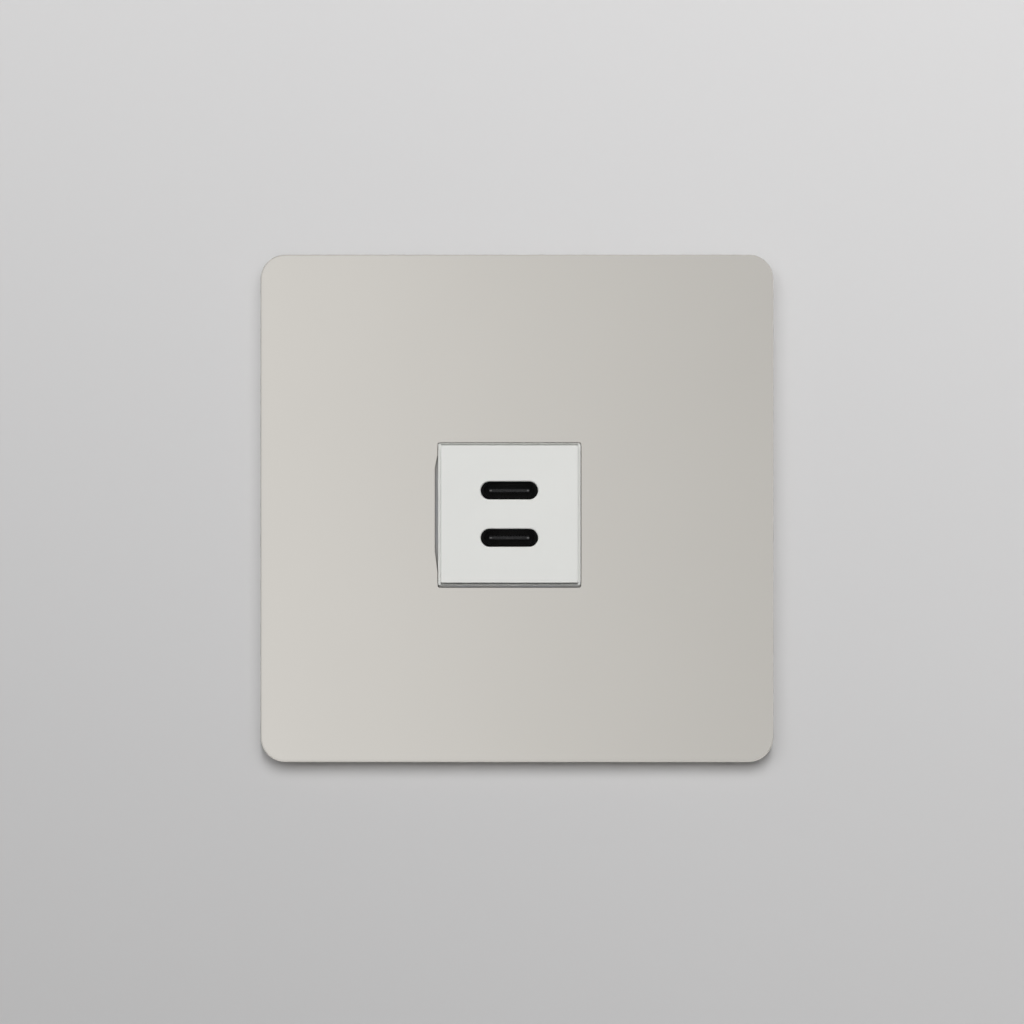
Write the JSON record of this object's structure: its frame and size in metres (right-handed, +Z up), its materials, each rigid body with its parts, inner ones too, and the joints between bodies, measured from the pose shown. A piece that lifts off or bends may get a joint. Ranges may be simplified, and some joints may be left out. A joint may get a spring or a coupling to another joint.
{
  "type": "usb wall socket",
  "caption": "Square polished metal wall plate with a white square charging module that has two USB-C ports, and a mains charger housing behind the wall plane.",
  "frame": {"origin": "midway between the two wall screws, on the wall plane, which is also the centre of the plate", "axes": "+X right and +Z up seen from the front, the front faces -Y, +Y goes into the wall"},
  "size_m": [0.086, 0.0284, 0.0852],
  "materials": {
    "polished_nickel": "polished nickel plating on pressed brass",
    "insert_plastic": "moulded, fine texture",
    "magnet_plating": "nickel-plated magnet",
    "zinc_steel": "bright zinc-plated pressed steel",
    "screw_steel": "zinc-plated steel",
    "terminal_brass": "bare brass",
    "spring_bronze": "phosphor bronze strip",
    "white_cap": "satin white moulding",
    "port_black": "black moulding",
    "port_steel": "blackened stainless steel",
    "tongue_plastic": "black glass-filled plastic",
    "latch_steel": "stainless steel",
    "contact_gold": "gold-plated copper alloy",
    "circuit_board": "solder-masked glass epoxy",
    "film": "insulating film",
    "header_black": "moulded",
    "pin_tin": "tinned",
    "ferrite": "sintered ferrite",
    "winding_tape": "yellow polyester tape over copper",
    "enamelled_copper": "enamelled copper wire",
    "can_sleeve": "shrink sleeve",
    "can_aluminium": "drawn can",
    "epoxy_black": "moulded epoxy",
    "filter_case": "yellow case",
    "blue_dip": "dipped epoxy",
    "fuse_case": "moulded case",
    "housing_plastic": "flame-retardant moulding, fine spark texture"
  },
  "bodies": {
    "wall_frame": {"bridge_rectifier": "epoxy_black", "bulk_capacitor_1": "can_sleeve", "bulk_capacitor_2": "can_sleeve", "choke_core": "ferrite", "choke_winding": "enamelled_copper", "controller_chip": "epoxy_black", "cover_screws": "screw_steel", "earth_bracket": "terminal_brass", "earth_rivets": "screw_steel", "earth_spring": "spring_bronze", "filter_capacitor": "filter_case", "fuse": "fuse_case", "inner_housing": "housing_plastic", "insulation_sheet": "film", "link_header": "header_black", "link_pins": "pin_tin", "live_bar": "terminal_brass", "module_cap": "white_cap", "module_screws": "screw_steel", "mounting_yoke": "zinc_steel", "neutral_bar": "terminal_brass", "output_capacitor_1": "can_aluminium", "output_capacitor_2": "can_aluminium", "output_inductor": "ferrite", "port_board": "circuit_board", "port_contacts_lower": "contact_gold", "port_contacts_upper": "contact_gold", "port_insert": "port_black", "port_latch_plate_lower": "latch_steel", "port_latch_plate_upper": "latch_steel", "port_shell_lower": "port_steel", "port_shell_upper": "port_steel", "port_tongue_lower": "tongue_plastic", "port_tongue_upper": "tongue_plastic", "power_board": "circuit_board", "rear_cover": "housing_plastic", "safety_capacitor": "blue_dip", "switching_transistor": "epoxy_black", "transformer_bobbin": "header_black", "transformer_core": "ferrite", "transformer_winding": "winding_tape", "varistor": "blue_dip", "wall_screw_left": "screw_steel", "wall_screw_right": "screw_steel"},
    "cover": {"front_plate": "polished_nickel", "plate_insert": "insert_plastic", "plate_magnet_1": "magnet_plating", "plate_magnet_2": "magnet_plating", "plate_magnet_3": "magnet_plating", "plate_magnet_4": "magnet_plating"},
    "live_screw_body": {"live_screw": "screw_steel"},
    "live_cage_body": {"live_cage": "terminal_brass"},
    "neutral_screw_body": {"neutral_screw": "screw_steel"},
    "neutral_cage_body": {"neutral_cage": "terminal_brass"},
    "earth_screw_body": {"earth_screw": "screw_steel"},
    "earth_cage_body": {"earth_cage": "terminal_brass"}
  },
  "joints": [
    {"name": "cover_pull", "type": "slide", "parent": "wall_frame", "child": "cover", "axis": [0, -1, 0], "range_m": [0, 0.02]},
    {"name": "live_screw_turn", "type": "hinge", "parent": "wall_frame", "child": "live_screw_body", "pos_m": [0.01172, 0.01875, -0.01913], "axis": [0, -1, 0], "range_deg": [0, 2165]},
    {"name": "live_cage_rise", "type": "slide", "parent": "wall_frame", "child": "live_cage_body", "axis": [0, 1, 0], "range_m": [0, 0.003]},
    {"name": "neutral_screw_turn", "type": "hinge", "parent": "wall_frame", "child": "neutral_screw_body", "pos_m": [-0.01428, 0.01875, -0.01913], "axis": [0, -1, 0], "range_deg": [0, 2165]},
    {"name": "neutral_cage_rise", "type": "slide", "parent": "wall_frame", "child": "neutral_cage_body", "axis": [0, 1, 0], "range_m": [0, 0.003]},
    {"name": "earth_screw_turn", "type": "hinge", "parent": "wall_frame", "child": "earth_screw_body", "pos_m": [0, 0.00965, 0.02687], "axis": [0, -1, 0], "range_deg": [0, 2165]},
    {"name": "earth_cage_rise", "type": "slide", "parent": "wall_frame", "child": "earth_cage_body", "axis": [0, 1, 0], "range_m": [0, 0.003]}
  ],
  "couplings": [
    {"joint": "live_screw_turn", "follows": "live_cage_rise", "rad_per_m": 12566},
    {"joint": "neutral_screw_turn", "follows": "neutral_cage_rise", "rad_per_m": 12566},
    {"joint": "earth_screw_turn", "follows": "earth_cage_rise", "rad_per_m": 12566}
  ]
}
